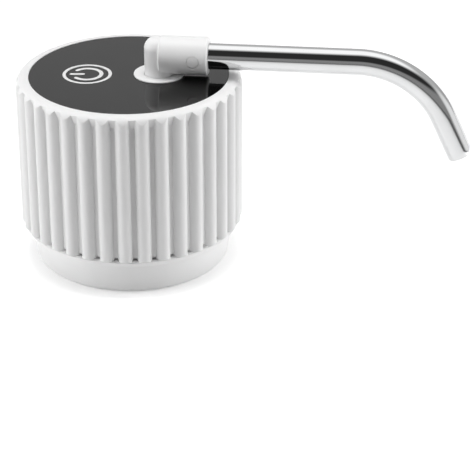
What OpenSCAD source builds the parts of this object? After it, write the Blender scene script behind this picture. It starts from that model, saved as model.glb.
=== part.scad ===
// Electric pump for a water jug: a ribbed round housing with a neck socket below,
// a dark key panel on top, and a steel spout that swivels on a white elbow.

/* [Sleeve] */
// Radius over the rib crests
sleeve_r = 40; // [39:0.5:46]
// Height of the ribbed sleeve
sleeve_h = 54.7; // [53:0.1:66]
// Number of ribs round the sleeve
rib_count = 36; // [24:1:38]
// Radius of each rib's rounded crest
rib_round = 2.6; // [2.2:0.1:3]
// Depth of the grooves between the ribs
rib_depth = 2.2; // [1.4:0.1:2.4]
// Turn of the ribs about the housing's axis
rib_turn = -0.9; // [-5:0.1:5]
// Wall behind the groove floors
sleeve_wall = 1.6; // [1.4:0.1:2]
// Rounding of the rim's outer edge
rim_fillet = 3.5; // [3:0.1:4]
// How far below the rim the grooves reach their full depth
groove_run = 4.2; // [3.6:0.1:5]
// How much a groove's floor leans out towards the rim, for each millimetre of height
groove_lean = 0.34; // [0.28:0.01:0.36]
// Rounding of the outer bottom edge
foot_fillet = 1; // [0.5:0.1:1.5]

/* [Collar] */
// Height of the collar below the sleeve
collar_h = 14.7; // [13:0.1:20]
// Radius of the collar under its lip
collar_r = 36.6; // [35.6:0.1:37]
// Narrowing of the collar towards its foot
collar_draft = 1.6; // [0.6:0.1:2]
// Rounding of the collar's foot
collar_fillet = 2.6; // [1:0.1:3]
// Height of the lip that meets the sleeve
lip_h = 2.3; // [1:0.1:3]
// Radius of the lip's upper edge, which shows as a ledge at the foot of each groove
lip_r = 39.2; // [38.8:0.1:39.6]
// How far the lip's face leans in towards its lower edge
lip_lean = 1; // [0.6:0.1:1.4]
// Bevel of the lip's upper edge
lip_bevel = 0.4; // [0.2:0.1:0.6]
// Rise of the floor's underside above the sleeve's foot
floor_rise = 7.1; // [5:0.1:9]
// Thickness of the floor
floor_t = 2.5; // [2:0.1:3]
// Height of the spigot above the floor
spigot_h = 3; // [2:0.2:5]
// Wall of the spigot
spigot_wall = 1.9; // [1.2:0.1:2.2]

/* [Neck ring] */
// Radius of the hole that takes the jug's neck
neck_r = 28.2; // [27:0.1:28.6]
// Height of the grip ring
ring_h = 11; // [9:0.2:12]
// Wall of the grip ring
ring_wall = 3.4; // [2.6:0.1:3.6]
// Height of the bead that keeps the ring in the collar
bead_h = 2; // [1:0.1:3]
// How far the bead stands out
bead_out = 0.8; // [0.4:0.1:1]

/* [Panel] */
// Width of the white rim round the dark top panel
rim_w = 4.7; // [4.4:0.1:6.5]
// Thickness of the panel
panel_t = 2.4; // [2:0.1:3]
// Depth of the panel's face below the rim
panel_recess = 0.2; // [0:0.05:0.6]
// Width of the shelf under the panel's edge
shelf_w = 2.2; // [1.5:0.1:3]
// Thickness of that shelf
shelf_t = 1.8; // [1.2:0.1:2.4]

/* [Power key] */
// Distance of the key from the housing's axis
key_offset = 14.7; // [13.5:0.1:16]
// Outer radius of the light ring
key_ring_r = 8.7; // [8:0.1:9.5]
// Width of the light ring's face
key_ring_w = 1.15; // [0.8:0.05:1.5]
// Travel of the key
key_travel = 0.6; // [0.3:0.05:0.6]
// Outer radius of the symbol's arc
symbol_r = 5.7; // [4.5:0.1:6.2]
// Stroke of the symbol
symbol_w = 1.4; // [0.8:0.1:1.6]
// Half angle of the arc's opening
symbol_open = 42; // [30:1:60]
// Length of the symbol's bar
symbol_bar = 5.4; // [4:0.1:6]

/* [Spout] */
// Distance of the swivel axis from the housing's axis
stem_x = 10.6; // [10:0.1:13]
// Radius of the stem that turns in the socket
stem_r = 4.8; // [4.4:0.1:5]
// Radius of the elbow's upright leg
leg_r = 5.1; // [4.9:0.05:5.4]
// Radius of the elbow's barrel
barrel_r = 6.75; // [6.4:0.05:7]
// Reach of the barrel from the swivel axis
barrel_reach = 17.7; // [16:0.1:24]
// Rounding of the leg's top edge
leg_fillet = 4.2; // [2:0.1:4.6]
// Gap between the bezel and the underside of the barrel
barrel_gap = 0.3; // [0.3:0.05:1]
// Radius of the round bezel
bezel_r = 8.9; // [8.6:0.05:10]
// Thickness of the bezel
bezel_t = 0.5; // [0.4:0.1:1.2]
// Radius of the steel tube
tube_r = 4.6; // [4.3:0.05:4.8]
// Wall of the steel tube
tube_wall = 0.5; // [0.4:0.05:0.8]
// Distance from the swivel axis to the start of the bend
tube_straight = 69.7; // [50:0.1:90]
// Radius of the bend at the tube's centre
bend_r = 34; // [20:0.5:40]
// Angle of the bend
bend_deg = 65; // [30:1:90]
// Straight length after the bend
tube_tail = 15.5; // [8:0.5:24]
// Angle of the stored spout towards the front
spout_turn = 5.9; // [0:0.1:12]

/* [Pump unit] */
// Distance of the gear pair from the housing's axis
pump_x = 11; // [10.5:0.1:12]
// Radius of the pump head
head_r = 15.5; // [15.2:0.1:16]
// Module of the pump gears
gear_module = 0.8; // [0.7:0.02:0.86]
// Teeth on each gear
gear_teeth = 9; // [8:1:10]
// Width of the gear faces
gear_w = 4; // [3:0.2:5]
// Thickness of the pump's bottom cover
cover_t = 2.6; // [2.2:0.1:3.2]
// Thickness of the gasket
gasket_t = 0.4; // [0.3:0.1:0.6]
// Thickness of the head above the gears
head_top = 5.3; // [4.6:0.1:5.6]
// Radius of the motor shaft
shaft_r = 1; // [0.9:0.05:1.1]
// Radius of the motor
motor_r = 12.2; // [11.6:0.1:12.4]
// Gap between the motor's terminals and the main board
motor_room = 1.6; // [1.2:0.1:4]
// Wall of the motor's can
can_wall = 0.8; // [0.6:0.1:1]
// Radius of the suction nozzle
nozzle_r = 3; // [2.6:0.1:3.4]
// Length of the suction nozzle below its flange
nozzle_len = 8; // [6:0.2:8.4]

/* [Battery and boards] */
// Width of the battery
battery_w = 32; // [26:0.5:34]
// Thickness of the battery
battery_t = 8; // [6:0.2:9]
// Gap between the battery and the main board
battery_room = 3.1; // [2.6:0.1:8]
// Gap between the main board's edge and the sleeve
board_edge = 9.2; // [8:0.1:10]
// Thickness of the boards
board_t = 1.2; // [0.8:0.1:1.4]
// Gap between the main board and the panel
board_drop = 4.2; // [4.2:0.1:4.6]
// Width of the charging board
charge_w = 16; // [14:0.5:20]
// Length of the charging board
charge_len = 14.5; // [12:0.5:16]
// Height of the charging board above the floor
charge_rise = 6.7; // [6:0.1:12]
// Depth of the charging port's recess
port_depth = 2.6; // [2.4:0.1:2.8]

/* [Fits] */
// Radial clearance of turning parts
running = 0.05; // [0.03:0.01:0.09]
// Gap between parts that move past each other
free_gap = 0.35; // [0.3:0.05:0.5]
// Clearance of parts that push together
seat_gap = 0.1; // [0.05:0.05:0.2]

/* [Hidden] */
$fn = 96;

shell_white = [0.93, 0.93, 0.93];
panel_dark = [0.13, 0.13, 0.14];
steel = [0.78, 0.79, 0.8];
board_green = [0.1, 0.35, 0.2];
seal_black = [0.08, 0.08, 0.08];

// A cut reaches this far past the face that it opens
over = 0.5;

// Levels from the collar's foot upwards
rim_z = collar_h + sleeve_h;
panel_z = rim_z - panel_recess;
panel_under = panel_z - panel_t;
shelf_z = panel_under - shelf_t;
floor_under = collar_h + floor_rise;
floor_z = floor_under + floor_t;
spigot_z = floor_z + spigot_h;
board_z = panel_under - board_drop;
board_under = board_z - board_t;

// Radii of the housing from outside to inside
groove_r = sleeve_r - rib_depth;
inner_r = groove_r - sleeve_wall;
panel_r = sleeve_r - rim_w;
recess_r = panel_r + seat_gap;
shelf_r = panel_r - shelf_w;
spigot_r = inner_r - seat_gap;
spigot_in = spigot_r - spigot_wall;
ring_r = neck_r + ring_wall;
neck_stop = 1.6;
board_r = inner_r - board_edge;
// The rounded form that trims the ribs stands this far outside their crests
trim_out = 0.15;
form_r = sleeve_r + trim_out;

// Self-tapping screws: shank radius, head radius and head height
screw_r = 1.3;
screw_head_r = 2.4;
screw_head_h = 1.4;
small_screw_r = 0.8;
small_head_r = 1.7;
small_head_h = 1.1;
// A pilot hole runs this far past its screw
screw_end = 1;

// Case screws go up through the floor into four posts of the sleeve
post_ring = 27;
post_angles = [45, 135, 220, 330];
post_r = 2.8;
post_h = 14;
post_web = 2;
case_bite = 10;

// Pump head, gears and motor: the gear pair lies across the housing's X axis
pitch_r = gear_module * gear_teeth / 2;
addendum = 0.8 * gear_module;
dedendum = 1.05 * gear_module;
pressure = 25;
backlash = 0.16;
tip_r = pitch_r + addendum;
chamber_r = tip_r + free_gap;
end_play = 0.2;
cover_z = floor_z + cover_t;
gasket_z = cover_z + gasket_t;
gear_z = cover_z + end_play;
chamber_z = gear_z + gear_w + end_play;
head_z = chamber_z + head_top;
drive_y = -pitch_r;
idler_y = pitch_r;
port_r = 2;
port_x = pitch_r;
pump_screw_r = 1.2;
pump_head_r = 2;
pump_screw_ring = 13;
pump_screw_angles = [30, 150, 210, 330];
pump_bite = 6;
seal_r = 3.2;
seal_h = 3.2;
shaft_foot = 1.5;
cup_h = 3;
cup_wall = 1.2;
bush_r = 2.9;
bush_proud = 1.6;
can_floor = 1;
cap_t = 1.6;
cap_plug = 1.2;
cap_boss_r = 4;
cap_boss_h = 1.2;
magnet_t = 2.3;
magnet_half = 60;
magnet_lift = 4.4;
magnet_drop = 3.6;
air_gap = 0.9;
armature_r = motor_r - can_wall - magnet_t - air_gap;
armature_lift = 5.4;
armature_drop = 4;
armature_slots = 5;
slot_w = 1.2;
slot_depth = 3;
terminal = [2.4, 0.6, 1.6];
terminal_x = 8;
can_top = board_under - motor_room - terminal[2] - cap_t;
motor_h = can_top - head_z;
shaft_inset = 0.2;
pin_hold = 2;

// Suction nozzle: flange below the floor, neck in the floor, chamfered tip
nozzle_flange_h = 2;
nozzle_flange_w = 3;
nozzle_neck = 1;
nozzle_tip = 0.6;

// Outlet line: lug of the pump head, hose and swivel socket stand on the swivel axis
lug_r = 5;
barb_r = 2.6;
barb_h = 6;
water_r = 1.7;
hose_wall = 1.6;
hose_gap = 2.9;
clip_t = 0.8;
clip_h = 2.4;
clip_inset = 1.6;
clip_ear = [1.6, 2.2];
socket_r = 7.4;
socket_bore = stem_r + running;
socket_floor = 3.5;
flange_r = 11.2;
flange_t = 2.2;
flange_screw = 9.3;
panel_skin = 0.8;
board_cut = 1;
stem_gap = 0.6;
socket_barb_z = head_z + barb_h + hose_gap;
socket_z = socket_barb_z + barb_h;
stem_z = socket_z + socket_floor + stem_gap;

// Elbow and steel tube, drawn along +X before the stored turn
bezel_z = panel_z + bezel_t;
barrel_z = bezel_z + barrel_gap + barrel_r;
leg_drop = 0.3;
leg_top = barrel_z + barrel_r - leg_drop;
barrel_start = 0.4;
barrel_edge = 0.4;
tube_seat = 5.5;
band = 0.02;
band_w = 0.2;
stem_bore = 3;
o_ring_w = 0.5;
stem_ring_first = 3;
stem_ring_step = 4;
stem_ring_z = [stem_z + stem_ring_first, stem_z + stem_ring_first + stem_ring_step];
tube_ring_room = 0.15;
tube_ring_s = 8.5;
lock_s = 12.7;
lock_r = 2.2;
lock_proud = 0.15;

// Power key: cap, plunger and switch stack under the light ring
key_x = -key_offset;
key_in = key_ring_r - key_ring_w;
cap_r = key_in - free_gap;
cap_inset = 0.5;
cap_flange_r = key_ring_r - cap_inset;
cap_flange_t = 0.5;
key_lift = 0.3;
ring_sink = 0.1;
ring_under = panel_under - ring_sink;
flange_top = ring_under - key_lift;
plunger_top = flange_top - cap_flange_t;
plunger_r = 1.7;
plunger_h = 1.9;
switch_w = 6;
switch_gap = 0.4;
switch_top = plunger_top - key_travel - switch_gap;
plunger_room = 0.15;
symbol_t = 0.4;
symbol_bar_in = 0.8;
led = [1.6, 1, 0.6];
led_angles = [45, 135, 225, 315];

// Board posts of the panel
board_post_r = 2.2;
board_post_inset = 5;
board_posts = [for (angle = [60, 120, 240, 300])
               (board_r - board_post_inset) * [cos(angle), sin(angle)]];
board_screw_end = 0.6;

// Charging socket and its recess in the back of the sleeve
socket_w = 8.94;
socket_t = 3.26;
socket_deep = 7.3;
socket_skin = 0.3;
port_y = sleeve_r - port_depth;
mouth_inset = 0.4;
mouth_y = port_y - mouth_inset;
port_w = 13.5;
port_t = 8;
charge_z = floor_z + charge_rise;
socket_mid = charge_z + board_t + socket_t / 2;
charge_inset = 2.5;
charge_back = mouth_y - charge_inset;
charge_front = charge_back - charge_len;
charge_post_in = 2.6;
charge_post_on = 3;
charge_posts = [for (side = [-1, 1])
                [side * (charge_w / 2 - charge_post_in), charge_front + charge_post_on]];
charge_bite = 4;
socket_back = 1;
tongue = [6.7, 5.3, 0.7];

// Battery stands in a cradle at the front of the housing
cradle_t = 1;
cradle_wall = 1.2;
cradle_h = 9;
cradle_lip = 1;
battery_edge = 0.4;
battery_z = floor_z + cradle_t;
battery_h = board_under - battery_room - battery_z;
battery_front = -sqrt(pow(spigot_in - battery_edge, 2) - pow(battery_w / 2, 2));
battery_back = battery_front + battery_t;
battery_mid = (battery_front + battery_back) / 2;

// Points of the leads inside the housing
lead_r = 0.6;
lead_sides = 8;
lead_steps = 4;
battery_lead_x = 5;
battery_lead_step = 1;
charge_lead_x = 6;
charge_lead_on = 6;
charge_lead_back = 4;
charge_lead_rise = 4;
charge_lead_out = 2;

function catmull(p0, p1, p2, p3, t) =
    0.5 * (2 * p1 + (p2 - p0) * t + (2 * p0 - 5 * p1 + 4 * p2 - p3) * t * t
           + (3 * p1 - p0 - 3 * p2 + p3) * t * t * t);

function smooth_path(pts, steps) =
    let (n = len(pts))
    concat([for (i = [0 : n - 2]) for (k = [0 : steps - 1])
            catmull(pts[max(i - 1, 0)], pts[i], pts[i + 1], pts[min(i + 2, n - 1)], k / steps)],
           [pts[n - 1]]);

function unit(v) = v / norm(v);

function path_dir(path, i) =
    unit(path[min(i + 1, len(path) - 1)] - path[max(i - 1, 0)]);

// One closed tube swept along a path of points, with rings square to the path
module tube_along(path, r, sides) {
    n = len(path);
    rings = [for (i = [0 : n - 1])
             let (d = path_dir(path, i),
                  ref = abs(d[1]) < 0.9 ? [0, 1, 0] : [1, 0, 0],
                  a = unit(cross(d, ref)),
                  b = cross(d, a))
             for (k = [0 : sides - 1])
             path[i] + r * (cos(360 * k / sides) * a + sin(360 * k / sides) * b)];
    sides_a = [for (i = [0 : n - 2]) for (k = [0 : sides - 1])
               [i * sides + k, (i + 1) * sides + k, (i + 1) * sides + (k + 1) % sides]];
    sides_b = [for (i = [0 : n - 2]) for (k = [0 : sides - 1])
               [i * sides + k, (i + 1) * sides + (k + 1) % sides, i * sides + (k + 1) % sides]];
    start = [for (k = [1 : sides - 2]) [0, k, k + 1]];
    finish = [for (k = [1 : sides - 2])
              [(n - 1) * sides, (n - 1) * sides + k + 1, (n - 1) * sides + k]];
    polyhedron(rings, concat(sides_a, sides_b, start, finish));
}

// A flat outline with round ends, as wide as w and as high as t
module stadium(w, t) {
    square([w - t, t], center = true);
    for (side = [-1, 1])
        translate([side * (w - t) / 2, 0])
            circle(t / 2);
}

module ring(r_out, r_in, z0, z1) {
    difference() {
        translate([0, 0, z0])
            cylinder(r = r_out, h = z1 - z0);
        translate([0, 0, z0 - over])
            cylinder(r = r_in, h = z1 - z0 + 2 * over);
    }
}

module rod(r, z0, z1) {
    translate([0, 0, z0])
        cylinder(r = r, h = z1 - z0);
}

// A ring of round section about the Z axis
module o_ring(r_mid, r_section) {
    rotate_extrude()
        translate([r_mid, 0])
            circle(r_section);
}

// A pan head screw that points up: the head hangs below seat_z and has a cross recess
module screw_up(r, head_r, head_h, seat_z, bite) {
    recess_w = head_r * 0.3;
    difference() {
        union() {
            rod(r, seat_z - over, seat_z + bite);
            rod(head_r, seat_z - head_h, seat_z);
        }
        for (turn = [0, 90])
            translate([0, 0, seat_z - head_h])
                rotate([0, 0, turn])
                    cube([head_r * 1.3, recess_w, head_h], center = true);
    }
}

module at_posts() {
    for (angle = post_angles)
        rotate([0, 0, angle])
            translate([post_ring, 0, 0])
                children();
}

module at_pump() {
    translate([-pump_x, 0, 0])
        children();
}

module at_motor() {
    translate([-pump_x, drive_y, 0])
        children();
}

module at_pump_screws() {
    at_pump()
        for (angle = pump_screw_angles)
            rotate([0, 0, angle])
                translate([pump_screw_ring, 0, 0])
                    children();
}

module at_nozzle() {
    translate([-pump_x - port_x, 0, 0])
        children();
}

module at_swivel() {
    translate([stem_x, 0, 0])
        rotate([0, 0, -spout_turn])
            children();
}

module at_key() {
    translate([key_x, 0, 0])
        children();
}

// A round wall with its edges rounded, cut by the bore, the shelf and the panel's recess
module sleeve_form() {
    rotate_extrude()
        intersection() {
            union() {
                polygon([[0, collar_h], [form_r - foot_fillet, collar_h], [form_r, collar_h + foot_fillet],
                         [form_r, rim_z - rim_fillet], [form_r - rim_fillet, rim_z], [0, rim_z]]);
                translate([form_r - foot_fillet, collar_h + foot_fillet])
                    circle(foot_fillet);
                translate([form_r - rim_fillet, rim_z - rim_fillet])
                    circle(rim_fillet);
            }
            polygon([[inner_r, collar_h - over], [form_r + over, collar_h - over],
                     [form_r + over, rim_z + over], [recess_r, rim_z + over], [recess_r, panel_under],
                     [shelf_r, panel_under], [shelf_r, shelf_z], [inner_r, shelf_z]]);
        }
}

// A round core at the depth of the grooves, which widens to the rim
module groove_core() {
    rim_out = groove_r + groove_lean * (groove_run + over);
    rotate_extrude()
        polygon([[0, collar_h - over], [groove_r - foot_fillet - over, collar_h - over],
                 [groove_r, collar_h + foot_fillet], [groove_r, rim_z - groove_run],
                 [rim_out, rim_z + over], [0, rim_z + over]]);
}

module rib_section() {
    for (i = [0 : rib_count - 1])
        rotate([0, 0, rib_turn + 360 * i / rib_count])
            translate([sleeve_r - rib_round, 0])
                circle(rib_round);
}

module ribbed_sleeve() {
    color(shell_white)
    difference() {
        union() {
            intersection() {
                sleeve_form();
                union() {
                    groove_core();
                    translate([0, 0, collar_h - 2 * over])
                        linear_extrude(sleeve_h + 4 * over)
                            rib_section();
                }
            }
            at_posts() {
                rod(post_r, floor_z, floor_z + post_h);
                translate([0, -post_web / 2, spigot_z])
                    cube([inner_r + over - post_ring, post_web, floor_z + post_h - spigot_z]);
            }
        }
        at_posts()
            rod(screw_r, floor_z - over, floor_z + case_bite);
        translate([0, 0, socket_mid])
            rotate([-90, 0, 0]) {
                translate([0, 0, port_y])
                    linear_extrude(sleeve_r)
                        stadium(port_w, port_t);
                linear_extrude(sleeve_r)
                    stadium(socket_w + 2 * seat_gap, socket_t + 2 * seat_gap);
            }
    }
}

module base_collar() {
    foot_r = collar_r - collar_draft;
    seat_r = ring_r + seat_gap;
    bead_z = (ring_h - bead_h) / 2;
    stop_r = neck_r + neck_stop;
    color(shell_white)
    difference() {
        union() {
            rotate_extrude() {
                polygon([[0, floor_under], [stop_r, floor_under], [stop_r, ring_h],
                         [seat_r, ring_h], [seat_r, bead_z + bead_h],
                         [seat_r + bead_out, bead_z + bead_h], [seat_r + bead_out, bead_z],
                         [seat_r, bead_z], [seat_r, 0], [foot_r - collar_fillet, 0],
                         [foot_r, collar_fillet], [collar_r, collar_h - lip_h],
                         [lip_r - lip_lean, collar_h - lip_h], [lip_r, collar_h - lip_bevel],
                         [lip_r - lip_bevel, collar_h], [spigot_r, collar_h],
                         [spigot_r, spigot_z], [spigot_in, spigot_z], [spigot_in, floor_z],
                         [0, floor_z]]);
                translate([foot_r - collar_fillet, collar_fillet])
                    intersection() {
                        circle(collar_fillet);
                        translate([0, -collar_fillet])
                            square(collar_fillet);
                    }
            }
            for (p = charge_posts)
                translate(p)
                    rod(board_post_r, floor_z, charge_z);
        }
        at_posts()
            rod(screw_r + seat_gap, floor_under - over, floor_z + over);
        at_pump_screws()
            rod(pump_screw_r + seat_gap, floor_under - over, floor_z + over);
        at_nozzle()
            rod(nozzle_r + nozzle_neck + seat_gap, floor_under - over, floor_z + over);
        for (p = charge_posts)
            translate(p)
                rod(small_screw_r, charge_z - charge_bite - screw_end, charge_z + over);
    }
}

module neck_grip_ring() {
    bead_z = (ring_h - bead_h) / 2;
    color([0.85, 0.86, 0.86])
    rotate_extrude()
        polygon([[neck_r, 0], [ring_r, 0], [ring_r, bead_z], [ring_r + bead_out, bead_z],
                 [ring_r + bead_out, bead_z + bead_h], [ring_r, bead_z + bead_h],
                 [ring_r, ring_h], [neck_r, ring_h]]);
}

module case_screws() {
    color(steel)
    at_posts()
        screw_up(screw_r, screw_head_r, screw_head_h, floor_under, floor_t + case_bite - screw_end);
}

module top_panel() {
    color(panel_dark)
    difference() {
        union() {
            rod(panel_r, panel_under, panel_z);
            for (p = board_posts)
                translate(p)
                    rod(board_post_r, board_z, panel_under + over);
        }
        at_key()
            rod(key_ring_r + seat_gap / 2, panel_under - over, panel_z + over);
        translate([stem_x, 0, 0])
            rod(socket_r + seat_gap, panel_under - over, panel_z + over);
        for (p = board_posts)
            translate(p)
                rod(small_screw_r, board_z - over, panel_under);
        for (side = [-1, 1])
            translate([stem_x, side * flange_screw, 0])
                rod(small_screw_r, panel_under - over, panel_z - panel_skin);
    }
}

module button_light_ring() {
    color([0.95, 0.95, 0.95])
    at_key()
        ring(key_ring_r, key_in, ring_under, panel_z);
}

// The power sign: an open arc with a bar through its opening, which faces -X
module power_sign() {
    mid = symbol_r - symbol_w / 2;
    difference() {
        circle(symbol_r);
        circle(symbol_r - symbol_w);
        polygon([[0, 0], [-2 * symbol_r, -2 * symbol_r * tan(symbol_open)],
                 [-2 * symbol_r, 2 * symbol_r * tan(symbol_open)]]);
    }
    for (side = [-1, 1])
        translate([-mid * cos(symbol_open), side * mid * sin(symbol_open)])
            circle(symbol_w / 2);
    translate([-symbol_bar / 2 - symbol_bar_in, 0])
        stadium(symbol_bar, symbol_w);
}

module power_button() {
    color(panel_dark)
    at_key()
        difference() {
            union() {
                rod(cap_flange_r, plunger_top, flange_top);
                rod(cap_r, flange_top - over / 2, panel_z);
            }
            translate([0, 0, panel_z - symbol_t])
                linear_extrude(symbol_t + over)
                    power_sign();
        }
}

module power_symbol() {
    color("white")
    at_key()
        translate([0, 0, panel_z - symbol_t])
            linear_extrude(symbol_t)
                power_sign();
}

module switch_plunger() {
    color(seal_black)
    at_key()
        rod(plunger_r, plunger_top - plunger_h, plunger_top);
}

module tact_switch() {
    color([0.3, 0.3, 0.32])
    at_key()
        difference() {
            translate([-switch_w / 2, -switch_w / 2, board_z])
                cube([switch_w, switch_w, switch_top - board_z]);
            rod(plunger_r + free_gap, plunger_top - plunger_h - key_travel - plunger_room,
                switch_top + over);
        }
}

module main_board() {
    color(board_green)
    difference() {
        rod(board_r, board_under, board_z);
        translate([stem_x, 0, 0])
            rod(socket_r + board_cut, board_under - over, board_z + over);
        for (p = board_posts)
            translate(p)
                rod(small_screw_r + seat_gap, board_under - over, board_z + over);
    }
}

module status_leds() {
    color([0.9, 0.95, 1])
    at_key()
        for (angle = led_angles)
            rotate([0, 0, angle])
                translate([key_ring_r - key_ring_w / 2 - led[0] / 2, -led[1] / 2, board_z])
                    cube(led);
}

module board_screws() {
    color(steel)
    for (p = board_posts)
        translate(p)
            screw_up(small_screw_r, small_head_r, small_head_h, board_under,
                     board_t + board_drop - board_screw_end);
}

module outlet_bezel() {
    color(shell_white)
    translate([stem_x, 0, 0])
        ring(bezel_r, leg_r + free_gap, panel_z, bezel_z);
}

module outlet_socket() {
    color([0.88, 0.88, 0.88])
    translate([stem_x, 0, 0])
        difference() {
            union() {
                rod(socket_r, socket_z, panel_z);
                rod(flange_r, panel_under - flange_t, panel_under);
                rod(barb_r, socket_barb_z, socket_z + over);
            }
            rod(socket_bore, socket_z + socket_floor, panel_z + over);
            rod(water_r, socket_barb_z - over, socket_z + socket_floor + over);
            for (side = [-1, 1])
                translate([0, side * flange_screw, 0])
                    rod(small_screw_r + seat_gap, panel_under - flange_t - over, panel_under + over);
        }
}

module socket_screws() {
    color(steel)
    for (side = [-1, 1])
        translate([stem_x, side * flange_screw, 0])
            screw_up(small_screw_r, small_head_r, small_head_h, panel_under - flange_t,
                     flange_t + panel_t - panel_skin - seat_gap);
}

// Turns a shape that stands along Z so that it lies along +X at the barrel's height
module along_barrel() {
    translate([0, 0, barrel_z])
        rotate([0, 90, 0])
            children();
}

module spout_elbow() {
    shoulder_z = panel_z + seat_gap;
    color(shell_white)
    at_swivel()
        difference() {
            union() {
                rod(stem_r, stem_z, shoulder_z + over);
                rotate_extrude() {
                    polygon([[0, shoulder_z], [leg_r, shoulder_z], [leg_r, leg_top - leg_fillet],
                             [leg_r - leg_fillet, leg_top], [0, leg_top]]);
                    translate([leg_r - leg_fillet, leg_top - leg_fillet])
                        intersection() {
                            circle(leg_fillet);
                            translate([leg_fillet - leg_r, 0])
                                square(leg_r + leg_fillet);
                        }
                }
                along_barrel()
                    rotate_extrude()
                        polygon([[0, barrel_start], [barrel_r - barrel_edge, barrel_start],
                                 [barrel_r, barrel_start + barrel_edge],
                                 [barrel_r, barrel_reach - barrel_edge],
                                 [barrel_r - barrel_edge, barrel_reach], [0, barrel_reach]]);
            }
            rod(stem_bore, stem_z - over, barrel_z);
            along_barrel() {
                rod(stem_bore, 0, tube_seat + over);
                rod(tube_r + running, tube_seat, barrel_reach + over);
                rod(tube_r + 2 * o_ring_w + tube_ring_room, tube_ring_s - o_ring_w - seat_gap,
                    tube_ring_s + o_ring_w + seat_gap);
            }
            for (z = stem_ring_z)
                ring(stem_r + over, stem_r - 2 * o_ring_w, z - o_ring_w - seat_gap,
                     z + o_ring_w + seat_gap);
            translate([lock_s, 0, barrel_z])
                rotate([90, 0, 0])
                    rod(lock_r + seat_gap / 2, tube_r, barrel_r + over);
        }
}

module stem_o_rings() {
    color(seal_black)
    at_swivel()
        for (z = stem_ring_z)
            translate([0, 0, z])
                o_ring(stem_r - o_ring_w + running / 2, o_ring_w);
}

// The bend lies in its own plane about its centre, and the tail starts at angle 0 there.
// A hair-thin band closes the tube where the straight length runs into the bend.
module spout_tube() {
    color(steel)
    at_swivel()
        translate([tube_straight, 0, barrel_z - bend_r])
            rotate([90, 0, 0]) {
                translate([0, bend_r, 0])
                    rotate([0, -90, 0]) {
                        ring(tube_r, tube_r - tube_wall, 0, tube_straight - tube_seat);
                        ring(tube_r + band, tube_r - tube_wall - band, -band_w, band_w);
                    }
                rotate([0, 0, 90 - bend_deg]) {
                    rotate_extrude(angle = bend_deg)
                        translate([bend_r, 0])
                            difference() {
                                circle(tube_r);
                                circle(tube_r - tube_wall);
                            }
                    translate([bend_r, 0, 0])
                        rotate([90, 0, 0])
                            ring(tube_r, tube_r - tube_wall, 0, tube_tail);
                }
            }
}

module tube_o_ring() {
    color(seal_black)
    at_swivel()
        along_barrel()
            translate([0, 0, tube_ring_s])
                o_ring(tube_r + running + o_ring_w, o_ring_w);
}

module tube_lock_pin() {
    color(shell_white)
    at_swivel()
        translate([lock_s, 0, barrel_z])
            rotate([90, 0, 0])
                rod(lock_r, tube_r + seat_gap, barrel_r + lock_proud);
}

module inlet_nozzle() {
    flange_z = floor_under - nozzle_flange_h;
    plate_r = nozzle_r + nozzle_flange_w;
    hub_r = nozzle_r + nozzle_neck;
    tip_z = flange_z - nozzle_len;
    color(shell_white)
    at_nozzle()
        difference() {
            rotate_extrude()
                polygon([[port_r, tip_z], [nozzle_r - nozzle_tip, tip_z],
                         [nozzle_r, tip_z + nozzle_tip], [nozzle_r, flange_z],
                         [plate_r, flange_z], [plate_r, floor_under], [hub_r, floor_under],
                         [hub_r, floor_z], [port_r, floor_z]]);
            ring(nozzle_r + o_ring_w + running, nozzle_r - o_ring_w - running,
                 floor_z - 2 * o_ring_w, floor_z + over);
        }
}

module nozzle_o_ring() {
    color(seal_black)
    at_nozzle()
        translate([0, 0, floor_z - o_ring_w])
            o_ring(nozzle_r, o_ring_w);
}

module gear_chamber() {
    for (y = [drive_y, idler_y])
        translate([0, y])
            circle(chamber_r);
    for (side = [-1, 1])
        translate([side * port_x, 0])
            circle(port_r);
}

module pump_cover() {
    color([0.25, 0.27, 0.3])
    difference() {
        at_pump()
            rod(head_r, floor_z, cover_z);
        at_pump_screws()
            rod(pump_screw_r + seat_gap, floor_z - over, cover_z + over);
        at_nozzle()
            rod(port_r, floor_z - over, cover_z + over);
        at_motor()
            rod(shaft_r + running, cover_z - shaft_foot - end_play, cover_z + over);
        translate([-pump_x, idler_y, 0])
            rod(shaft_r, cover_z - shaft_foot, cover_z + over);
    }
}

module head_gasket() {
    color(seal_black)
    difference() {
        at_pump()
            translate([0, 0, cover_z])
                linear_extrude(gasket_t)
                    difference() {
                        circle(head_r);
                        gear_chamber();
                    }
        at_pump_screws()
            rod(pump_screw_r + seat_gap, cover_z - over, gasket_z + over);
    }
}

module pump_head() {
    channel_z = (gasket_z + chamber_z) / 2;
    color([0.25, 0.27, 0.3])
    difference() {
        union() {
            at_pump()
                rod(head_r, gasket_z, head_z);
            at_motor()
                rod(motor_r + cup_wall, head_z - cup_h, head_z + cup_h);
            translate([-pump_x, -lug_r, gasket_z])
                cube([pump_x + stem_x, 2 * lug_r, head_z - gasket_z]);
            translate([stem_x, 0, 0]) {
                rod(lug_r, gasket_z, head_z);
                rod(barb_r, head_z - over, head_z + barb_h);
            }
        }
        at_motor() {
            rod(motor_r + seat_gap / 2, head_z, head_z + cup_h + over);
            rod(shaft_r + free_gap, chamber_z - over, head_z + over);
            rod(seal_r, head_z - seal_h, head_z + over);
        }
        at_pump()
            translate([0, 0, gasket_z - over])
                linear_extrude(chamber_z - gasket_z + over)
                    gear_chamber();
        translate([-pump_x, idler_y, 0])
            rod(shaft_r, chamber_z - over, chamber_z + pin_hold);
        at_pump_screws()
            rod(pump_screw_r, gasket_z - over, gasket_z + pump_bite);
        translate([-pump_x + port_x, 0, channel_z])
            rotate([0, 90, 0])
                rod(water_r, 0, pump_x - port_x + stem_x);
        translate([stem_x, 0, 0])
            rod(water_r, channel_z - water_r, head_z + barb_h + over);
    }
}

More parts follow.
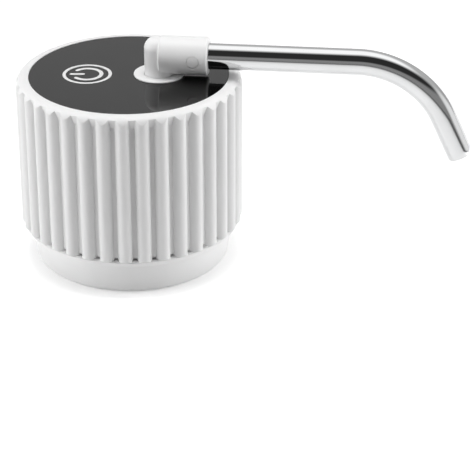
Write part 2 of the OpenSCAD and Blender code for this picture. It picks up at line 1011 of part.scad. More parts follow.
module pump_screws() {
    color(steel)
    at_pump_screws()
        screw_up(pump_screw_r, pump_head_r, screw_head_h, floor_under,
                 gasket_z - floor_under + pump_bite - screw_end);
}

function involute(angle) = tan(angle) * 180 / PI - angle;

// Half of a tooth's angle at radius r, on an involute flank above the base circle
function tooth_half(r) =
    let (base_r = pitch_r * cos(pressure),
         at = acos(min(1, base_r / max(r, base_r))))
    90 / gear_teeth - backlash / pitch_r * 90 / PI + involute(pressure) - involute(at);

// Outline of a pump gear with one tooth pointing along the given angle
function gear_outline(first) =
    let (root_r = pitch_r - dedendum,
         flank = 5,
         radii = [for (k = [0 : flank]) root_r + (tip_r - root_r) * k / flank])
    [for (i = [0 : gear_teeth - 1]) for (side = [-1, 1]) for (k = [0 : flank])
     let (r = side < 0 ? radii[k] : radii[flank - k],
          a = first + 360 * i / gear_teeth + side * tooth_half(r))
     [r * cos(a), r * sin(a)]];

module pump_gear(first, bore_r) {
    difference() {
        translate([0, 0, gear_z])
            linear_extrude(gear_w)
                polygon(gear_outline(first));
        rod(bore_r, gear_z - over, gear_z + gear_w + over);
    }
}

module drive_gear() {
    color([0.9, 0.88, 0.8])
    at_motor()
        pump_gear(90, shaft_r);
}

module idler_gear() {
    color([0.9, 0.88, 0.8])
    translate([-pump_x, idler_y, 0])
        pump_gear(270 + 180 / gear_teeth, shaft_r + running);
}

module idler_pin() {
    color(steel)
    translate([-pump_x, idler_y, 0])
        rod(shaft_r, cover_z - shaft_foot, chamber_z + pin_hold);
}

module shaft_seal() {
    color(seal_black)
    at_motor()
        ring(seal_r, shaft_r + running, head_z - seal_h, head_z);
}

module rotor_shaft() {
    color(steel)
    at_motor()
        rod(shaft_r, cover_z - shaft_foot, can_top + cap_t + cap_boss_h - shaft_inset);
}

module armature() {
    core_low = head_z + armature_lift;
    core_high = can_top - armature_drop;
    color([0.5, 0.3, 0.15])
    at_motor()
        difference() {
            rod(armature_r, core_low, core_high);
            rod(shaft_r, core_low - over, core_high + over);
            for (i = [0 : armature_slots - 1])
                rotate([0, 0, 360 * i / armature_slots])
                    translate([armature_r - slot_depth, -slot_w / 2, core_low - over])
                        cube([armature_r, slot_w, core_high - core_low + 2 * over]);
        }
}

module motor_can() {
    color(steel)
    at_motor()
        difference() {
            rod(motor_r, head_z, can_top);
            rod(motor_r - can_wall, head_z + can_floor, can_top + over);
            rod(bush_r, head_z - over, head_z + can_floor + over);
        }
}

module motor_magnets() {
    outer = motor_r - can_wall - running;
    color([0.2, 0.2, 0.22])
    at_motor()
        for (turn = [0, 180])
            rotate([0, 0, turn - magnet_half])
                translate([0, 0, head_z + magnet_lift])
                    rotate_extrude(angle = 2 * magnet_half)
                        translate([outer - magnet_t, 0])
                            square([magnet_t, motor_h - magnet_lift - magnet_drop]);
}

module motor_end_cap() {
    color([0.85, 0.85, 0.82])
    at_motor()
        difference() {
            union() {
                rod(motor_r - can_wall - seat_gap / 2, can_top - cap_plug, can_top);
                rod(motor_r, can_top, can_top + cap_t);
                rod(cap_boss_r, can_top, can_top + cap_t + cap_boss_h);
            }
            rod(bush_r, can_top - cap_plug - over, can_top + cap_t + cap_boss_h + over);
        }
}

module motor_bushes() {
    color([0.75, 0.6, 0.35])
    at_motor() {
        ring(bush_r, shaft_r + running, head_z, head_z + can_floor + bush_proud);
        ring(bush_r, shaft_r + running, can_top - cap_plug, can_top + cap_t + cap_boss_h);
    }
}

module motor_terminals() {
    color([0.8, 0.65, 0.3])
    at_motor()
        for (side = [-1, 1])
            translate([side * terminal_x - terminal[0] / 2, -terminal[1] / 2, can_top + cap_t])
                cube(terminal);
}

module delivery_hose() {
    color([0.9, 0.92, 0.92])
    translate([stem_x, 0, 0])
        ring(barb_r + hose_wall, barb_r + running, head_z, socket_z);
}

module hose_clips() {
    hose_r = barb_r + hose_wall;
    color(steel)
    translate([stem_x, 0, 0])
        for (z = [head_z + clip_inset, socket_z - clip_inset - clip_h])
            difference() {
                union() {
                    rod(hose_r + clip_t, z, z + clip_h);
                    translate([hose_r, -clip_ear[0], z])
                        cube([clip_t + clip_ear[1], 2 * clip_ear[0], clip_h]);
                }
                rod(hose_r, z - over, z + clip_h + over);
                translate([0, -clip_ear[0] / 2, z - over])
                    cube([hose_r + clip_t + clip_ear[1] + over, clip_ear[0], clip_h + 2 * over]);
            }
}

module battery_cell() {
    color([0.55, 0.6, 0.68])
    translate([-battery_w / 2, battery_front, battery_z])
        cube([battery_w, battery_t, battery_h]);
}

module battery_cradle() {
    color([0.8, 0.8, 0.8])
    difference() {
        translate([-battery_w / 2 - cradle_wall, battery_front + cradle_lip, floor_z])
            cube([battery_w + 2 * cradle_wall, battery_t - cradle_lip + cradle_wall,
                  cradle_t + cradle_h]);
        translate([-battery_w / 2, battery_front - over, battery_z])
            cube([battery_w, battery_t + over, battery_h]);
    }
}

module charge_board() {
    color(board_green)
    difference() {
        translate([-charge_w / 2, charge_front, charge_z])
            cube([charge_w, charge_len, board_t]);
        for (p = charge_posts)
            translate(p)
                rod(small_screw_r + seat_gap, charge_z - over, charge_z + board_t + over);
    }
}

module charge_board_screws() {
    color(steel)
    for (p = charge_posts)
        translate([p[0], p[1], charge_z + board_t])
            mirror([0, 0, 1])
                screw_up(small_screw_r, small_head_r, small_head_h, 0, board_t + charge_bite);
}

module charge_socket() {
    color(steel)
    translate([0, mouth_y, socket_mid])
        rotate([90, 0, 0])
            difference() {
                linear_extrude(socket_deep)
                    stadium(socket_w, socket_t);
                translate([0, 0, -over])
                    linear_extrude(socket_deep - socket_back + over)
                        stadium(socket_w - 2 * socket_skin, socket_t - 2 * socket_skin);
            }
}

module socket_tongue() {
    color(seal_black)
    translate([-tongue[0] / 2, mouth_y - socket_deep + socket_back, socket_mid - tongue[2] / 2])
        cube(tongue);
}

module battery_leads() {
    low = battery_z + battery_h;
    color("firebrick")
    for (side = [-1, 1])
        translate([side * battery_lead_x, battery_mid, 0])
            tube_along(smooth_path([[0, 0, low + seat_gap],
                                    [0, 0, low + battery_lead_step],
                                    [0, battery_lead_step, board_under - battery_lead_step],
                                    [0, battery_lead_step, board_under - seat_gap]], lead_steps),
                       lead_r, lead_sides);
}

module motor_leads() {
    low = can_top + cap_t + terminal[2];
    color("navy")
    at_motor()
        for (side = [-1, 1])
            tube_along(smooth_path([[side * terminal_x, 0, low],
                                    [side * terminal_x, 0, (low + board_under) / 2],
                                    [side * terminal_x, 0, board_under]], lead_steps),
                       lead_r, lead_sides);
}

module charge_leads() {
    low = charge_z + board_t;
    color("firebrick")
    for (side = [-1, 1])
        translate([side * charge_lead_x, charge_front + charge_lead_on, 0])
            tube_along(smooth_path([[0, 0, low + seat_gap],
                                    [0, 0, low + charge_lead_rise],
                                    [side * charge_lead_out, -charge_lead_back, (low + board_under) / 2],
                                    [0, -charge_lead_back, board_under - charge_lead_rise],
                                    [0, -charge_lead_back, board_under - seat_gap]], lead_steps),
                       lead_r, lead_sides);
}

ribbed_sleeve();
base_collar();
neck_grip_ring();
case_screws();
top_panel();
button_light_ring();
power_button();
power_symbol();
switch_plunger();
tact_switch();
main_board();
status_leds();
board_screws();
outlet_bezel();
outlet_socket();
socket_screws();
spout_elbow();
stem_o_rings();
spout_tube();
tube_o_ring();
tube_lock_pin();
inlet_nozzle();
nozzle_o_ring();
pump_cover();
head_gasket();
pump_head();
pump_screws();
drive_gear();
idler_gear();
idler_pin();
shaft_seal();
rotor_shaft();
armature();
motor_can();
motor_magnets();
motor_end_cap();
motor_bushes();
motor_terminals();
delivery_hose();
hose_clips();
battery_cell();
battery_cradle();
charge_board();
charge_board_screws();
charge_socket();
socket_tongue();
battery_leads();
motor_leads();
charge_leads();
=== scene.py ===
import math

import bmesh
import bpy
import numpy as np
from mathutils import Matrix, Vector


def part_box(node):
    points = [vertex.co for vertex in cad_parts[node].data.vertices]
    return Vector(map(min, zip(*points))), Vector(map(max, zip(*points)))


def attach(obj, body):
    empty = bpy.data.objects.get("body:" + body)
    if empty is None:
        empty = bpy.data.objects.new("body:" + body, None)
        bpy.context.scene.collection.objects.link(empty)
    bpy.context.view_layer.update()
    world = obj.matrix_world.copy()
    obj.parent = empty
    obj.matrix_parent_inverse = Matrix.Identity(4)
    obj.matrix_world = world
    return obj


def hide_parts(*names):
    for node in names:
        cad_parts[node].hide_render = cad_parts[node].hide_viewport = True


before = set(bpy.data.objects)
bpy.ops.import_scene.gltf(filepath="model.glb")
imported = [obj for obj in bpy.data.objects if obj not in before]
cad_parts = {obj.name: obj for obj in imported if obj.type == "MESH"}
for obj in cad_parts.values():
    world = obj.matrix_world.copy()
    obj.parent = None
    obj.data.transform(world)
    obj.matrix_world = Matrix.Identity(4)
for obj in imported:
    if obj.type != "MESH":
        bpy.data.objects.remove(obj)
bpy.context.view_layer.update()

# Studio. The camera stands in front and looks down at the pump, as in the photograph.
# Soft boxes light it from both sides and from overhead. In mirrors a bright ceiling and bright
# sides stand for them, and the room behind the camera is dark.
scene = bpy.context.scene
scene.view_settings.view_transform = "Standard"
camera = bpy.data.objects.new("camera", bpy.data.cameras.new("camera"))
camera.location = (0.0374, -0.6512, 0.3428)
camera.rotation_euler = (math.radians(62.6), 0, 0)
camera.data.sensor_width = 36
camera.data.lens = 152.95
scene.collection.objects.link(camera)
scene.camera = camera


class Wire:
    """A socket of a node tree. Sums on it add Math nodes, and add() puts in any other node."""

    def __init__(self, tree, socket=None):
        self.tree, self.socket = tree, socket

    def add(self, kind, settings=(), sockets=(), out=0):
        """A node of that kind: its settings first, then the values or links of its sockets."""
        node = self.tree.nodes.new("ShaderNode" + kind)
        for name, value in dict(settings).items():
            setattr(node, name, value)
        for name, value in dict(sockets).items():
            if isinstance(value, Wire):
                self.tree.links.new(value.socket, node.inputs[name])
            else:
                node.inputs[name].default_value = value
        return Wire(self.tree, node.outputs[out])

    def maths(self, operation, first, second):
        """A Math node on two values or wires."""
        return self.add("Math", {"operation": operation}, {0: first, 1: second})

    def __add__(self, other):
        return self.maths("ADD", self, other)

    def __rsub__(self, other):
        return self.maths("SUBTRACT", other, self)

    def __mul__(self, other):
        return self.maths("MULTIPLY", self, other)

    __radd__, __rmul__ = __add__, __mul__

    def either(self, other):
        """The larger of two masks."""
        return self.maths("MAXIMUM", self, other)

    def ray(self, kind):
        """1 for rays of this kind, and 0 for all others."""
        return self.add("LightPath", out=f"Is {kind} Ray")

    def length(self):
        """How far these coordinates lie from the origin."""
        return self.add("VectorMath", {"operation": "LENGTH"}, {0: self}, "Value")

    def part(self, axis):
        """The X, Y or Z of these coordinates."""
        return self.add("SeparateXYZ", {}, {0: self}, axis)

    def rise(self, low, high):
        """0 below low, 1 above high, and a smooth step between them."""
        return self.add("MapRange", {"interpolation_type": "SMOOTHSTEP"},
                        {"Value": self, "From Min": low, "From Max": high})

    def blend(self, first, second):
        """The first colour where this mask is 0, and the second where it is 1."""
        return self.add("Mix", {"data_type": "RGBA"}, {0: self, 6: first, 7: second}, 2)

    def stretch(self, x, y, z):
        """These coordinates, each times its own factor."""
        return self.add("VectorMath", {"operation": "MULTIPLY"}, {0: self, 1: (x, y, z)})

    def cloud(self, scale, detail=2.0):
        """Noise from 0 to 1 over these coordinates, with this many lumps to the metre."""
        return self.add("TexNoise", {}, {"Vector": self, "Scale": scale, "Detail": detail})

    def dent(self, height, depth, strength):
        """A normal that follows a height from 0 to 1, times this depth in metres."""
        return self.add("Bump", {}, {"Height": height, "Distance": depth, "Strength": strength})


def grey(value, tint=0.0):
    """A neutral colour, or a slightly cool one where tint is above 0."""
    return (value - tint, value, value + tint, 1.0)


def feed(node, **wires):
    """Links each wire to the socket of that name."""
    for name, wire in wires.items():
        wire.tree.links.new(wire.socket, node.inputs[name.replace("_", " ")])


world = bpy.data.worlds.new("studio")
scene.world = world
world.use_nodes = True
sky = Wire(world.node_tree)
compass = sky.add("TexCoord", out="Generated")
across, upward = compass.part("X"), compass.part("Z")
in_front = 1 - compass.part("Y").rise(-0.35, 0.12)
beside = (across * across).rise(0.72, 0.95)
backdrop = upward.rise(0.16, 0.36).blend(grey(0.5), grey(0.64))
ceiling = upward.rise(0.60, 0.85).blend(backdrop, grey(1.5))
dark_room = upward.rise(0.30, 0.50).blend(grey(0.32), grey(0.035))
mirrored = beside.blend(in_front.blend(ceiling, dark_room), grey(1.1))
ambient = in_front.blend(grey(0.12), grey(0.03))
unseen = sky.ray("Glossy").blend(ambient, mirrored)
seen = sky.ray("Camera").either(sky.ray("Transmission"))
feed(world.node_tree.nodes["Background"], Color=seen.blend(unseen, grey(1.0)))


def soft_box(name, place, size, watts):
    """A square soft light at a place, turned to face the middle of the pump. Neither the camera
    nor mirrors see it."""
    lamp = bpy.data.lights.new(name, "AREA")
    lamp.size, lamp.energy = size, watts
    box = bpy.data.objects.new(name, lamp)
    box.location = place
    box.rotation_euler = (pump_middle - Vector(place)).to_track_quat("-Z", "Y").to_euler()
    box.visible_camera = box.visible_glossy = False
    scene.collection.objects.link(box)


pump_middle = Vector((0, 0, 0.05))
side_size, top_size = 0.50, 0.28
soft_box("left_box", (-0.65, -0.20, 0.20), side_size, 3.4)
soft_box("right_box", (0.68, -0.04, 0.20), side_size, 3.8)
soft_box("top_box", (0.0, 0.0, 0.60), top_size, 2.15)


# Table. A wide sheet of matt white board under the pump. Its glow, which grows away from the
# pump, is for the camera and mirrors only, and in mirrors it fades towards the dark room in front.
def put_surface(name, grid, around=True, along=False):
    """A mesh of four-sided faces over a grid of points. Its columns close on themselves where
    around is set, and its rows where along is set."""
    index = np.arange(grid.shape[0] * grid.shape[1]).reshape(grid.shape[:2])
    if around:
        index = np.hstack([index, index[:, :1]])
    if along:
        index = np.vstack([index, index[:1]])
    corners = [index[:-1, :-1], index[:-1, 1:], index[1:, 1:], index[1:, :-1]]
    mesh = bpy.data.meshes.new(name)
    mesh.from_pydata(grid.reshape(-1, 3).tolist(), [], np.stack(corners, -1).reshape(-1, 4).tolist())
    mesh.shade_smooth()
    piece = bpy.data.objects.new(name, mesh)
    scene.collection.objects.link(piece)
    return piece


def new_finish(name, **even):
    """A material with one Principled shader, whose even values stand on its own sockets.
    Gives the material, the shader and the Object coordinates."""
    material = bpy.data.materials.new(name)
    material.use_nodes = True
    shader = material.node_tree.nodes["Principled BSDF"]
    for socket, value in even.items():
        shader.inputs[socket.replace("_", " ")].default_value = value
    return material, shader, Wire(material.node_tree).add("TexCoord", out="Object")


table_reach, table_drop = 3.0, 0.0002
near_glow, far_glow = grey(0.40), grey(1.0)
sides = np.linspace(-table_reach, table_reach, 3)
table_grid = np.stack(np.meshgrid(sides, sides, [-table_drop]), -1)[:, :, 0]
table = put_surface("table", table_grid, around=False)
table_board, table_shader, table_place = new_finish(
    "table_board", Roughness=0.7, Specular_IOR_Level=0.2, Emission_Strength=1.0)
glow = table_place.length().rise(0.15, 0.9).blend(near_glow, far_glow)
in_mirrors = table_place.ray("Glossy") * table_place.part("Y").rise(-0.6, -0.1)
feed(table_shader, Base_Color=table_place.cloud(3).blend(grey(0.86), grey(0.89)),
     Emission_Color=table_place.ray("Camera").either(in_mirrors).blend(grey(0.0), glow))
table.data.materials.append(table_board)


# Collar. One white moulding that sits over the jug's neck and carries the floor of the
# housing. Its outside is polished in the mould, with a faint ripple left by the flow.
def mould_marks(place):
    """What a mould leaves on a white piece: the broad flow of the melt, a fine ripple, and a normal
    that follows the ripple."""
    fine = place.cloud(2400, 2)
    return place.cloud(70, 3), fine, place.dent(fine, 0.000012, 0.5)


def dress(material, *names):
    """Puts one finish in every material slot of the named nodes."""
    for name in names:
        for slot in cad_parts[name].material_slots:
            slot.material = material


shell_white, shell_shader, shell_place = new_finish("shell_white", IOR=1.5)
flow, ripple, shell_normal = mould_marks(shell_place)
feed(shell_shader, Base_Color=flow.blend(grey(0.83), grey(0.87)),
     Roughness=0.24 + 0.10 * flow + 0.06 * ripple, Normal=shell_normal)
dress(shell_white, "base_collar")

# Neck grip ring. A soft silicone ring, pressed into the collar, that holds the jug's rim.
# Silicone has a dull, slightly dusty face.
grip_silicone, grip_shader, grip_place = new_finish("grip_silicone", IOR=1.41)
dust = grip_place.cloud(900, 4)
feed(grip_shader, Base_Color=dust.blend(grey(0.72), grey(0.80)), Roughness=0.55 + 0.2 * dust,
     Normal=grip_place.dent(dust, 0.00002, 0.4))
dress(grip_silicone, "neck_grip_ring")

# Suction nozzle. A turned-looking white moulding under the floor, with its seal above the
# flange. The inner mouldings of the housing have the same plain finish.
inner_white, inner_shader, inner_place = new_finish("inner_white", IOR=1.5)
frost = inner_place.cloud(3200, 2)
feed(inner_shader, Base_Color=frost.blend(grey(0.74), grey(0.80)), Roughness=0.42 + 0.15 * frost,
     Normal=inner_place.dent(frost, 0.00002, 0.5))
dress(inner_white, "inlet_nozzle", "outlet_socket", "battery_cradle", "motor_end_cap")

# Seals. Moulded black nitrile: rings on the nozzle, the stem and the tube, a seal on the shaft and
# a flat gasket in the pump. They are dull, with a fine bloom on the face.
seal_black, seal_shader, seal_place = new_finish("seal_black", IOR=1.5)
bloom = seal_place.cloud(1500, 5)
feed(seal_shader, Base_Color=bloom.rise(0.45, 0.75).blend(grey(0.014), grey(0.035)),
     Roughness=0.5 + 0.3 * bloom)
dress(seal_black, "nozzle_o_ring", "stem_o_rings", "tube_o_ring", "head_gasket", "shaft_seal")

# Gear pump. Cover and head are dark glass-filled mouldings, whose fibres show as short
# pale streaks. Two ivory gears turn between them. The small dark mouldings of the switch and the
# charging socket have the same finish.
pump_dark, pump_shader, pump_place = new_finish("pump_dark", IOR=1.5)
fibre = pump_place.stretch(1, 0.12, 0.3).cloud(5200, 2).rise(0.62, 0.75)
feed(pump_shader, Base_Color=fibre.blend(grey(0.022, 0.001), grey(0.05, 0.001)),
     Roughness=0.48 + 0.12 * fibre, Normal=pump_place.dent(fibre, 0.00001, 0.5))
dress(pump_dark, "pump_cover", "pump_head", "tact_switch", "switch_plunger", "socket_tongue")

gear_ivory, gear_shader, gear_place = new_finish("gear_ivory", IOR=1.48)
wax = gear_place.cloud(1100, 3)
feed(gear_shader, Base_Color=wax.blend((0.70, 0.66, 0.55, 1), (0.78, 0.75, 0.65, 1)),
     Roughness=0.3 + 0.15 * wax)
dress(gear_ivory, "drive_gear", "idler_gear")

# Screws, pin, shaft and clips, and the cans of the motor and the charging socket. All are steel
# with bright zinc over it, and fine turning marks.
zinc, zinc_shader, zinc_place = new_finish("zinc", Metallic=1.0)
turning = zinc_place.stretch(1, 1, 6).cloud(4000, 2)
feed(zinc_shader, Base_Color=turning.blend(grey(0.52, 0.012), grey(0.66, 0.012)),
     Roughness=0.22 + 0.16 * turning, Normal=zinc_place.dent(turning, 0.000006, 0.6))
dress(zinc, "case_screws", "board_screws", "socket_screws", "pump_screws", "charge_board_screws",
      "hose_clips", "rotor_shaft", "idler_pin", "motor_can", "charge_socket")

# Motor. Ferrite magnets and a laminated core with enamelled copper in its slots; the bushes
# and terminals are bronze.
iron, iron_shader, iron_place = new_finish("iron", Roughness=0.55)
sheets = iron_place.stretch(0.02, 0.02, 1).cloud(2600, 1)
feed(iron_shader, Base_Color=sheets.rise(0.4, 0.6).blend(grey(0.05), (0.20, 0.085, 0.04, 1)),
     Metallic=0.4 + 0.4 * sheets)
dress(iron, "armature", "motor_magnets")

bronze, bronze_shader, bronze_place = new_finish("bronze", Metallic=1.0)
pores = bronze_place.cloud(4200, 3)
feed(bronze_shader, Base_Color=pores.blend((0.42, 0.25, 0.09, 1), (0.62, 0.43, 0.19, 1)),
     Roughness=0.3 + 0.2 * pores)
dress(bronze, "motor_bushes", "motor_terminals")

# Delivery hose. A short length of milky silicone between the pump head and the swivel socket,
# pushed over a spigot at each end and held by clips.
hose_milk, hose_shader, hose_place = new_finish("hose_milk", IOR=1.41)
haze = hose_place.stretch(1, 1, 0.1).cloud(900, 2)
feed(hose_shader, Base_Color=haze.blend(grey(0.66, 0.01), grey(0.76, 0.01)), Roughness=0.3 + 0.2 * haze)
dress(hose_milk, "delivery_hose")

# Battery. A pouch cell in satin aluminium foil with soft creases, which sits in a cradle inside
# the housing.
foil, foil_shader, foil_place = new_finish("foil", Metallic=0.85)
crease = foil_place.stretch(1, 1, 0.35).cloud(260, 4)
feed(foil_shader, Base_Color=crease.blend(grey(0.42, 0.02), grey(0.56, 0.02)),
     Roughness=0.3 + 0.2 * crease, Normal=foil_place.dent(crease, 0.00015, 0.5))
dress(foil, "battery_cell")

# Boards. Green solder mask over copper tracks, which show as slightly lighter lines. Screws hold
# the boards, and the lights on the main one have clear lenses.
board_green, board_shader, board_place = new_finish("board_green", IOR=1.55)
tracks = board_place.add("TexBrick", {"offset": 0.37}, {"Vector": board_place, "Scale": 420.0,
                                                        "Mortar Size": 0.06}, "Fac")
feed(board_shader, Base_Color=tracks.blend((0.012, 0.10, 0.035, 1), (0.03, 0.20, 0.075, 1)),
     Roughness=0.3 + 0.15 * board_place.cloud(1500))
dress(board_green, "main_board", "charge_board")

lens_clear, lens_shader, lens_place = new_finish("lens_clear", IOR=1.5)
feed(lens_shader, Base_Color=lens_place.cloud(3000).blend(grey(0.75, 0.02), grey(0.85, 0.02)),
     Roughness=0.15 + 0.1 * lens_place.cloud(900))
dress(lens_clear, "status_leds")

# Leads. Stranded wire in soft red covers, with a dull face. They run from the battery, the motor
# and the charging board, and are fixed at both ends.
lead_cover, lead_shader, lead_place = new_finish("lead_cover", IOR=1.5)
scuff = lead_place.cloud(1800, 3)
feed(lead_shader, Base_Color=scuff.blend((0.30, 0.015, 0.012, 1), (0.42, 0.03, 0.022, 1)),
     Roughness=0.4 + 0.2 * scuff)
dress(lead_cover, "battery_leads", "motor_leads", "charge_leads")

# Ribbed sleeve. A white moulding with upright half-round ribs, whose grooves run out below a plain
# rim. Handling polishes the crests and the rim, so they are less rough than the grooves. The grooves'
# colour is painted shade, a little darker than the crests, and the rim's colour is painted light.
groove_floor, rib_crest = 0.0378, 0.0400
dull_shaded_to, polished_from = groove_floor + 0.0001, rib_crest - 0.0003
rim_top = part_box("ribbed_sleeve")[1][2]
rim_from, rim_full = rim_top - 0.0026, rim_top - 0.0008
sleeve_white, sleeve_shader, sleeve_place = new_finish("sleeve_white", IOR=1.5)
# Mask from groove floor to crest: it makes the crests less rough, and at its groove end it carries
# painted shade.
crest = sleeve_place.stretch(1, 1, 0).length().rise(dull_shaded_to, polished_from)
rim = sleeve_place.part("Z").rise(rim_from, rim_full)
sleeve_flow, sleeve_ripple, sleeve_normal = mould_marks(sleeve_place)
# Painted shade: the grooves' grey is a little darker than the crests', where shade falls between the
# ribs.
groove_painted_shade = grey(0.80)
crest_white = sleeve_flow.blend(grey(0.81), grey(0.84))
# Painted light: the rim's grey is lighter than the crests', as if lit from above. The rim mask also
# makes the rim less rough.
rim_painted_light = sleeve_flow.blend(grey(0.84), grey(0.88))
feed(sleeve_shader, Base_Color=rim.blend(crest.blend(groove_painted_shade, crest_white), rim_painted_light),
     Roughness=0.40 - 0.14 * crest.either(rim) + 0.08 * sleeve_flow + 0.05 * sleeve_ripple,
     Normal=sleeve_normal)
dress(sleeve_white, "ribbed_sleeve")

# Top panel and key. One sheet of black acrylic with a clear hard face: very fine hairlines
# from wiping, a few soft smears, and the key cap cut from the same sheet.
panel_black, panel_shader, panel_place = new_finish("panel_black", IOR=1.45)
smear = panel_place.stretch(1, 0.5, 1).cloud(85, 3).rise(0.45, 0.8)
hairlines = panel_place.stretch(1, 0.02, 1).cloud(5000, 1).rise(0.66, 0.74)
feed(panel_shader, Base_Color=smear.blend(grey(0.004), grey(0.007)),
     Roughness=0.05 + 0.05 * smear + 0.05 * hairlines)
dress(panel_black, "top_panel", "power_button")

# Light ring and power sign. White inlays: the ring lies round the key, where the lights below
# shine through it, and the sign is set into the key.
sign_white, sign_shader, sign_place = new_finish("sign_white", IOR=1.5)
milk = sign_place.cloud(1600, 2)
feed(sign_shader, Base_Color=milk.blend(grey(0.80), grey(0.88)), Roughness=0.3 + 0.15 * milk)
dress(sign_white, "button_light_ring", "power_symbol")


# Bezel. A thin white washer round the elbow's leg, bonded to the panel. Its upper edges are
# rounded where it is stamped from sheet.
def turned(radii, heights, steps):
    """A closed profile carried once round an upright axis: x is r cos a, y is r sin a and z is
    the height, with a in equal steps of a full turn."""
    angle = np.linspace(0, 2 * np.pi, steps, endpoint=False)
    return np.stack([np.outer(radii, np.cos(angle)), np.outer(radii, np.sin(angle)),
                     np.outer(heights, np.ones(steps))], -1)


def quarter(start, steps=6):
    """Cosines and sines over a quarter turn that begins at this many degrees."""
    angle = np.radians(start + np.linspace(0, 90, steps))
    return np.cos(angle), np.sin(angle)


swivel_x, bezel_steps = 0.0106, 96
bezel_low, bezel_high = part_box("outlet_bezel")
bezel_out = (bezel_high[0] - bezel_low[0]) / 2
bezel_in, bezel_round = 0.0053, 0.0002
outer_x, outer_z = quarter(0)
inner_x, inner_z = quarter(90)
bezel_radii = np.concatenate([[bezel_out], bezel_out - bezel_round * (1 - outer_x),
                              bezel_in + bezel_round * (1 + inner_x), [bezel_in]])
bezel_heights = np.concatenate([[bezel_low[2]], bezel_high[2] - bezel_round * (1 - outer_z),
                                bezel_high[2] - bezel_round * (1 - inner_z), [bezel_low[2]]])
bezel_grid = turned(bezel_radii, bezel_heights, bezel_steps) + [swivel_x, 0, 0]
bezel = put_surface("bezel_washer", bezel_grid, along=True)
bezel.data.materials.append(shell_white)
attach(bezel, "housing")
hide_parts("outlet_bezel")

# Elbow. A white moulding whose stem turns in the socket under the bezel. Its barrel holds the
# tube, and both are turned a little to the front.
dress(shell_white, "spout_elbow")
spout_turn, barrel_z, barrel_r = math.radians(5.9), 0.07675, 0.00675


def beside_barrel(along, up, front):
    """Places beside the barrel: along its axis from the swivel, up from the axis and out to the
    front, with the first and last turned about the swivel by the spout's angle."""
    return np.stack([swivel_x + along * np.cos(spout_turn) - front * np.sin(spout_turn),
                     -along * np.sin(spout_turn) - front * np.cos(spout_turn), barrel_z + up], -1)


# Lock pin. A round moulded pin, pushed in through the wall of the barrel to hold the tube. Its
# face follows the barrel, a little below it, and its edge is rounded.
def curved_face(radii, drops, skin_r, steps):
    """Rings of a round face laid on a level cylinder: across is r cos a and up is r sin a. The front
    is the root of the skin's radius squared less up squared, less the ring's own drop."""
    angle = np.linspace(0, 2 * np.pi, steps, endpoint=False)
    across, up = np.outer(radii, np.cos(angle)), np.outer(radii, np.sin(angle))
    return across, up, np.sqrt(skin_r ** 2 - up ** 2) - drops[:, None]


pin_along, pin_r, pin_edge, pin_sunk, pin_foot = 0.0127, 0.0022, 0.00035, 0.00006, 0.0048
face_rings, edge_rings, pin_steps, same_point = 11, 7, 64, 1e-7
edge_turn = np.linspace(0, np.pi / 2, edge_rings)
pin_radii = np.concatenate([np.linspace(0, pin_r - pin_edge, face_rings + 1)[:-1],
                            pin_r - pin_edge * (1 - np.sin(edge_turn)), [pin_r, 0]])
pin_drops = np.concatenate([np.zeros(face_rings), pin_edge * (1 - np.cos(edge_turn)), [0, 0]])
pin_across, pin_up, pin_front = curved_face(pin_radii, pin_drops, barrel_r - pin_sunk, pin_steps)
pin_front[-2:] = pin_foot
pin_grid = beside_barrel(pin_along + pin_across, pin_up, pin_front)
lock_pin = put_surface("lock_pin", pin_grid[::-1])
pin_mesh = bmesh.new()
pin_mesh.from_mesh(lock_pin.data)
bmesh.ops.remove_doubles(pin_mesh, verts=pin_mesh.verts, dist=same_point)
pin_mesh.to_mesh(lock_pin.data)
pin_mesh.free()
lock_pin.data.materials.append(shell_white)
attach(lock_pin, "spout")
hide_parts("tube_lock_pin")

# Steel spout. Polished stainless tube, bent on a former and cut square. The polishing belt
# leaves very fine lines round the tube, and its mouth is rounded over on a wheel.
tube_r, tube_wall, tube_seat, tube_straight = 0.0046, 0.0005, 0.0055, 0.0697
bend_r, bend_angle, tube_tail = 0.034, math.radians(65), 0.0155


def spout_path(station):
    """Reach, height over the barrel's axis and slope of the tube's middle line, by length from the
    swivel: level as far as the bend, an arc of one radius down, then straight again."""
    slope = np.clip((station - tube_straight) / bend_r, 0, bend_angle)
    level = np.minimum(station, tube_straight)
    tail = np.maximum(station - tube_straight - bend_r * bend_angle, 0)
    reach = level + bend_r * np.sin(slope) + tail * np.cos(slope)
    height = -bend_r * (1 - np.cos(slope)) - tail * np.sin(slope)
    return reach, height, slope


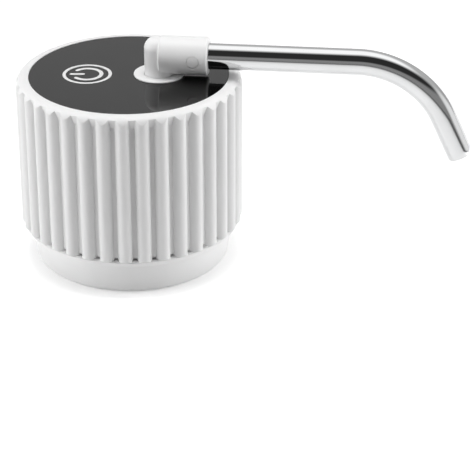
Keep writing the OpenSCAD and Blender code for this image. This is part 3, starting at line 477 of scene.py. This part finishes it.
def swept(station, radius, steps):
    """A circle carried along the spout's path: the middle line plus radius times the up and
    front directions, each times the cosine and the sine of a."""
    reach, height, slope = (value[:, None] for value in spout_path(station))
    angle = np.linspace(0, 2 * np.pi, steps, endpoint=False)
    rise, front = np.outer(radius, np.cos(angle)), np.outer(radius, np.sin(angle))
    place = beside_barrel(reach + rise * np.sin(slope), height + rise * np.cos(slope), front)
    return place, np.stack([np.broadcast_to(station[:, None], rise.shape), rise, front], -1)


straight_rings, bend_rings, tail_rings, lip_rings, tube_steps = 20, 40, 8, 9, 72
bend_end = tube_straight + bend_r * bend_angle
tube_end = bend_end + tube_tail
lip = tube_wall / 2
lip_turn = np.linspace(0, np.pi, lip_rings)
wall_stations = np.concatenate([np.linspace(tube_seat, tube_straight, straight_rings),
                                np.linspace(tube_straight, bend_end, bend_rings)[1:],
                                np.linspace(bend_end, tube_end - lip, tail_rings)[1:-1]])
lip_stations = tube_end - lip + lip * np.sin(lip_turn)
tube_stations = np.concatenate([wall_stations, lip_stations, wall_stations[::-1]])
tube_radii = np.concatenate([np.full(len(wall_stations), tube_r), tube_r - lip + lip * np.cos(lip_turn),
                             np.full(len(wall_stations), tube_r - tube_wall)])
tube_grid, polish_grid = swept(tube_stations, tube_radii, tube_steps)
spout = put_surface("polished_spout", tube_grid, along=True)
polish = spout.data.attributes.new("polish", "FLOAT_VECTOR", "POINT")
polish.data.foreach_set("vector", polish_grid.ravel())

spout_steel, steel_shader, steel_place = new_finish("spout_steel", Metallic=1.0)
belt = steel_place.add("Attribute", {"attribute_name": "polish"}, out="Vector")
lines = belt.stretch(1, 0.06, 0.06).cloud(5200, 2)
wiped = belt.stretch(0.4, 1, 1).cloud(220, 3)
feed(steel_shader, Base_Color=wiped.blend(grey(0.60, 0.004), grey(0.67, 0.004)),
     Roughness=0.035 + 0.03 * wiped + 0.02 * lines, Normal=belt.dent(lines, 0.0000015, 0.4))
spout.data.materials.append(spout_steel)
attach(spout, "spout")
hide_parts("spout_tube")
